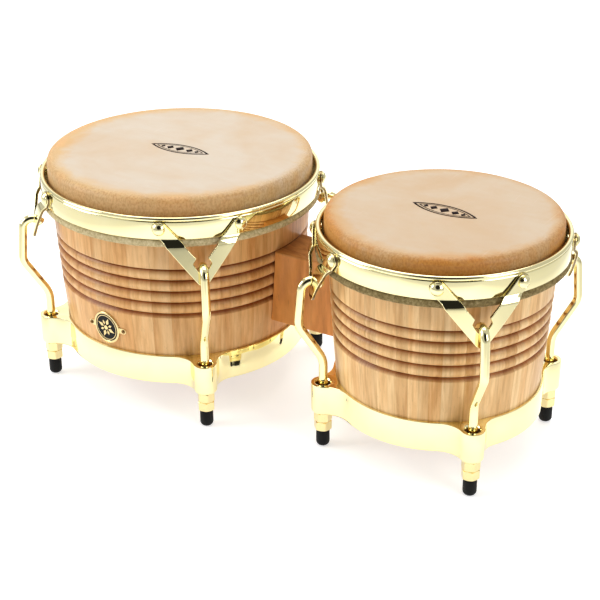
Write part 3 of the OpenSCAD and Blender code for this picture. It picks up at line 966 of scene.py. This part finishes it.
def ring_outline(drum, inset):
    """Plan of the ring and its four ears, drawn in by an inset."""
    band, boss = drum.ring_out, drum.lug_r
    to_axis, to_boss = band + EAR_FILLET, EAR_R + EAR_FILLET
    n = (to_axis ** 2 + boss ** 2 - to_boss ** 2) / 2 / boss
    t = sqrt(to_axis ** 2 - n * n)
    a_band = math.degrees(atan2(t, n))
    a_boss = math.degrees(atan2(t, n - boss))
    first = math.degrees(drum.lugs["near_left"])
    out = []
    for k in range(4):
        quarter = arc(n, -t, EAR_FILLET + inset, 180 - a_band, 180 - a_boss, 9)[:-1]
        quarter += arc(boss, 0, EAR_R - inset, -a_boss, a_boss, 20)[:-1]
        quarter += arc(n, t, EAR_FILLET + inset, 180 + a_boss, 180 + a_band, 9)[:-1]
        quarter += arc(0, 0, band - inset, a_band, 90 - a_band, 26)[:-1]
        q = radians(first + 90 * k)
        out += [(x * cos(q) - y * sin(q), x * sin(q) + y * cos(q)) for x, y in quarter]
    return out


def build_ring(drum):
    """The ring's outer wall, its stepped inner wall that holds the shell, and its ears' bores."""
    low, top = drum.ring_bottom, drum.ring_top
    bm = bmesh.new()

    def loop(points, z):
        return [bm.verts.new((x * MM, y * MM, z * MM)) for x, y in points]

    def circle(r, z, n=160, cx=0.0, cy=0.0):
        return loop([(cx + r * cos(2 * pi * i / n), cy + r * sin(2 * pi * i / n)) for i in range(n)], z)

    def wall(loops, material=0):
        for one, two in zip(loops, loops[1:]):
            n = len(one)
            for i in range(n):
                j = (i + 1) % n
                bm.faces.new((one[i], one[j], two[j], two[i])).material_index = material

    outer = []
    for a in range(0, 91, 15):
        outer.append(loop(ring_outline(drum, 3 - 3 * sin(radians(a))), low + 3 - 3 * cos(radians(a))))
    outer.append(loop(ring_outline(drum, 0), top - 0.7))
    outer.append(loop(ring_outline(drum, 0.18), top - 0.2))
    outer.append(loop(ring_outline(drum, 0.7), top))
    wall(outer)
    seat = drum.shell_bottom - SHELL_GAP
    ledge = drum.shell_r(drum.shell_bottom) - 6
    inner = [circle(drum.shell_r(top) + 0.45, top)]
    inner += [circle(drum.shell_r(z) + SHELL_GAP, z) for z in (top - 0.4, 50, 44, 39, seat)]
    inner += [circle(ledge, seat), circle(ledge, low + 0.6), circle(ledge + 0.6, low)]
    wall(inner)
    tops, bottoms = [outer[-1], inner[0]], [outer[0], inner[-1]]
    for angle in drum.lugs.values():
        cx, cy = drum.lug_r * cos(angle), drum.lug_r * sin(angle)
        bore = [circle(EAR_BORE + wider, z, 36, cx, cy) for wider, z in (
            (1.3, top), (1.05, top - 0.2), (0, top - 1.5), (0, low + 0.3), (0.3, low))]
        wall(bore[:3])
        # painted shade on the bore's inner wall
        wall(bore[2:4], 1)
        wall(bore[3:])
        tops.append(bore[0])
        bottoms.append(bore[-1])
    fill_loops(bm, tops)
    fill_loops(bm, bottoms)
    obj = object_of(bm, drum.name + "_cast_ring", (GOLD, BORE_SHADE_GOLD), drum.origin(), 0.0, 40)
    piece(obj, ROOT, "gold_plate", drum.name + "_bottom_ring")


# ---- block, bolts, badge

def build_block():
    """A box whose two ends follow the shells, as a grid of cells along, across and up."""
    low, high = box_mm("centre_block")
    half_y = (high.y - low.y) / 2
    along, across = 20, 14
    verts, faces, index = [], [], {}

    def end_x(drum, y, z, side):
        return drum.x + side * sqrt((drum.shell_r(z) + SHELL_GAP) ** 2 - y * y)

    def at(i, j, k):
        if (i, j, k) not in index:
            y = half_y * (2 * (j / across) - 1)
            z = low.z + (high.z - low.z) * (k / across)
            a, b = end_x(BIG, y, z, 1), end_x(SMALL, y, z, -1)
            index[i, j, k] = len(verts)
            verts.append((a + (b - a) * (i / along), y, z))
        return index[i, j, k]

    for j in range(across):
        for k in range(across):
            for i in (0, along):
                faces.append((at(i, j, k), at(i, j + 1, k), at(i, j + 1, k + 1), at(i, j, k + 1)))
    for i in range(along):
        for j in range(across):
            for k in (0, across):
                faces.append((at(i, j, k), at(i + 1, j, k), at(i + 1, j + 1, k), at(i, j + 1, k)))
        for k in range(across):
            for j in (0, across):
                faces.append((at(i, j, k), at(i + 1, j, k), at(i + 1, j, k + 1), at(i, j, k + 1)))
    obj = mesh_object("joining_block", verts, faces, BLOCK_WOOD, sharp=50)
    # the block's material reads the painted shade attribute too; here it is zero everywhere
    paint_groove_shade(obj, [0.0] * len(verts))
    bevel(obj, 1.1, 3, 50)
    piece(obj, ROOT, "block_wood", "centre_block")


def build_badge():
    """An oval plate with a raised rim, dark enamel and a plain rayed figure."""
    low, high = box_mm("badge")
    z0 = (low.z + high.z) / 2
    angle = atan2((low.y + high.y) / 2, (low.x + high.x) / 2 - BIG.x)
    wide, tall, pin_at = 12.75, 14.25, 16.6

    def place(t, h, lift):
        r = BIG.shell_r(z0 + h) + 0.1 + lift
        return (sqrt(r * r - t * t), t, z0 + h)

    def oval(k, lift, n=72):
        turns = [2 * pi * i / n for i in range(n)]
        return [place(wide * k * cos(a), tall * k * sin(a), lift) for a in turns]

    def solid(loops):
        return [p for loop in loops for p in loop], capped(len(loops), len(loops[0]))

    plate = solid([oval(0.985, 0.0), oval(1.0, 0.25), oval(1.0, 0.95), oval(0.975, 1.25),
                   oval(0.93, 1.3), oval(0.885, 1.2), oval(0.87, 0.95), oval(0.86, 0.9)])
    tabs = []
    for side in (-1, 1):
        tab = arc(side * pin_at, 0, 2.5, 90 if side < 0 else -90, 270 if side < 0 else 90, 14)
        tab += [(side * 11.5, 2.3 * side), (side * 11.5, -2.3 * side)]
        tabs.append(solid([[place(t, h, lift) for t, h in tab] for lift in (0.0, 0.7)]))
    verts, faces = join([plate] + tabs)
    obj = mesh_object("badge_plate", verts, faces, BADGE_GOLD, BIG.origin(), angle, sharp=35)
    bevel(obj, 0.15, 2, 50)
    piece(obj, ROOT, "badge_brass", "badge")

    field = solid([oval(0.868, 0.85), oval(0.868, 1.0)])
    obj = mesh_object("badge_enamel_field", *field, ENAMEL, BIG.origin(), angle, sharp=35)
    piece(obj, ROOT, "badge_brass")

    figure = []
    for k in range(8):
        a = pi / 4 * k + pi / 8
        tip, half = (8.6, 1.5) if k % 2 else (6.4, 1.1)
        ray = []
        for along, across in ((2.4, 0), (4.6, half), (tip, 0), (4.6, -half)):
            ray.append((along * cos(a) - across * sin(a), (along * sin(a) + across * cos(a)) * 1.1))
        figure.append(solid([[place(t, h, lift) for t, h in ray] for lift in (0.95, 1.15)]))
    hub = [(1.9 * cos(2 * pi * i / 20), 1.9 * sin(2 * pi * i / 20)) for i in range(20)]
    figure.append(solid([[place(t, h, lift) for t, h in hub] for lift in (0.95, 1.25)]))
    border = oval(0.79, 0.95) + oval(0.79, 1.1) + oval(0.75, 1.1) + oval(0.75, 0.95)
    figure.append((border, skin(4, len(border) // 4, closed=True)))
    verts, faces = join(figure)
    obj = mesh_object("badge_raised_figure", verts, faces, BADGE_GOLD, BIG.origin(), angle, sharp=35)
    piece(obj, ROOT, "badge_brass")

    nail = [(0, -6), (0.75, -6), (0.75, 0), (1.75, 0.02)] + arc(0, -0.55, 1.85, 20, 90, 6)[:-1] + [(0, 1.3)]
    nails = []
    for side in (-1, 1):
        x, y, z = place(side * pin_at, 0, 0.7)
        verts, faces = revolve(nail, 20, closed=False)
        nails.append((pointing_out(verts, atan2(y, x), (x, y, z)), faces))
    verts, faces = join(nails)
    obj = mesh_object("badge_nails", verts, faces, NAIL_BRASS, BIG.origin(), angle, sharp=35)
    piece(obj, ROOT, "badge_brass", "badge_pins")


# ---- build all

for drum in DRUMS:
    build_shell(drum)
    build_head(drum)
    build_rim(drum)
    build_rivets(drum)
    build_ring(drum)
    for index, lug in enumerate(LUGS):
        build_bracket(drum, lug)
        build_rod(drum, lug)
        build_nut(drum, lug, "tuning_nut", 0.35 + 0.21 * index)
        build_nut(drum, lug, "lock_nut", 0.05 + 0.37 * index)
        build_tip(drum, lug)
build_ornament(BIG, radians(3))
build_ornament(SMALL, radians(-4))
build_block()
build_badge()
for node, material in (("block_bolts", STEEL), ("block_washers", STEEL), ("block_nuts", STEEL),
                       ("big_flesh_hoop", STEEL), ("small_flesh_hoop", STEEL)):
    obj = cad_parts[node]
    obj.data.materials.clear()
    obj.data.materials.append(material)
    obj.data.shade_smooth()
    obj.data.set_sharp_from_angle(angle=radians(30))


# ---- stage

def stage_floor():
    """A floor that is white in the photograph's view and greyer beyond it, for the reflections. Near the
    drums it glows, painted light that lifts their shadows off the floor.
    """
    m = Nodes("studio_floor")
    coords, x, y, _ = m.object_xyz()
    azimuth = radians(31.3)
    ahead = m.minus(m.times(x, sin(azimuth)), m.times(y, cos(azimuth)))
    aside = m.plus(m.times(x, cos(azimuth)), m.times(y, sin(azimuth)))
    beside = m.plus(m.math("ABSOLUTE", aside), m.times(ahead, 0.18))
    away = m.math("MAXIMUM", m.minus(ahead, 0.07), m.plus(beside, 0.05))
    # painted light: the floor glows round the drums and fades out beyond them
    glow = m.ramp(away, (0.31, 0.58), (0.52, 0.0))
    distance = m.node("VectorMath", coords, operation="LENGTH").outputs["Value"]
    far = m.ramp(m.math("DIVIDE", distance, 10.0), (0.15, 0.0), (0.6, 1.0))
    tone = m.ramp(m.math("DIVIDE", away, 2.0), (0.20, 0.74), (0.38, 0.62), (0.66, 0.40))
    m.set(Base_Color=m.mix(far, tone, (0.8, 0.8, 0.8)), Roughness=0.9, Specular_IOR_Level=0.1)
    m.set(Emission_Color=(1, 1, 1, 1), Emission_Strength=glow)
    size = 9000
    verts = [(-size, -size, 0), (size, -size, 0), (size, size, 0), (-size, size, 0)]
    obj = mesh_object("studio_floor", verts, [(0, 1, 2, 3)], m.material, recalc=False)


def area_light(name, at, aim, size, size_y, power):
    data = bpy.data.lights.new(name, "AREA")
    data.energy = power
    data.shape = "RECTANGLE"
    data.size, data.size_y = size, size_y
    obj = bpy.data.objects.new(name, data)
    bpy.context.scene.collection.objects.link(obj)
    obj.location = at
    obj.rotation_mode = "QUATERNION"
    obj.rotation_quaternion = (Vector(aim) - Vector(at)).to_track_quat("-Z", "Y")


def direction(azimuth, elevation):
    """Unit vector with its azimuth measured from -Y towards +X, in radians."""
    return Vector((sin(azimuth) * cos(elevation), -cos(azimuth) * cos(elevation), sin(elevation)))


def studio():
    """A white tent, dark on the photograph's side, which gives the plating its dark lines."""
    world = bpy.data.worlds.new("studio")
    world.use_nodes = True
    tree = world.node_tree
    background = tree.nodes["Background"]
    looking = tree.nodes.new("ShaderNodeTexCoord").outputs["Generated"]

    def nearness(axis):
        n = tree.nodes.new("ShaderNodeVectorMath")
        n.operation = "DOT_PRODUCT"
        n.inputs[1].default_value = axis
        tree.links.new(looking, n.inputs[0])
        return n.outputs["Value"]

    ramp = tree.nodes.new("ShaderNodeValToRGB")
    ramp.color_ramp.elements[0].position = 0.80
    ramp.color_ramp.elements[0].color = (1.0, 1.0, 1.0, 1)
    ramp.color_ramp.elements[1].position = 0.90
    ramp.color_ramp.elements[1].color = (0.03, 0.03, 0.03, 1)
    tree.links.new(nearness(direction(radians(28), radians(30))), ramp.inputs[0])
    tree.links.new(ramp.outputs[0], background.inputs["Color"])
    opposite = direction(radians(31), radians(28))
    lift = tree.nodes.new("ShaderNodeMapRange")
    lift.interpolation_type = "SMOOTHSTEP"
    for socket, value in (("From Min", 0.72), ("From Max", 0.93), ("To Min", 0.60), ("To Max", 1.15)):
        lift.inputs[socket].default_value = value
    tree.links.new(nearness(Vector((-opposite.x, -opposite.y, opposite.z))), lift.inputs["Value"])
    tree.links.new(lift.outputs["Result"], background.inputs["Strength"])
    bpy.context.scene.world = world
    middle = (0, 0, 0.1)
    area_light("overhead_softbox", (-0.25, 0.35, 1.7), middle, 1.8, 1.5, 20)
    area_light("left_softbox", (-1.5, -1.0, 0.9), middle, 0.9, 1.2, 18)
    area_light("right_softbox", (1.75, -0.35, 0.8), middle, 0.8, 1.1, 11)


def camera():
    """The camera at the photograph's viewing angle, as fitted to it."""
    azimuth, elevation, roll = radians(31.338), radians(25.955), radians(-0.201)
    target = Vector((BIG.x + 108.675, 10.443, 80)) * MM
    away_m = 1.25886
    focal_px, frame_px = 1521.72, 600
    back = direction(azimuth, elevation)
    data = bpy.data.cameras.new("camera")
    data.sensor_width = 36
    data.lens = data.sensor_width * focal_px / frame_px
    obj = bpy.data.objects.new("camera", data)
    bpy.context.scene.collection.objects.link(obj)
    obj.location = target + back * away_m
    right = Vector((cos(azimuth), sin(azimuth), 0))
    up = back.cross(right)
    tilted_right = right * cos(roll) + up * sin(roll)
    tilted_up = -right * sin(roll) + up * cos(roll)
    obj.rotation_mode = "QUATERNION"
    obj.rotation_quaternion = Matrix((tilted_right, tilted_up, back)).transposed().to_quaternion()
    bpy.context.scene.camera = obj


stage_floor()
studio()
camera()
bpy.context.scene.view_settings.view_transform = "Standard"
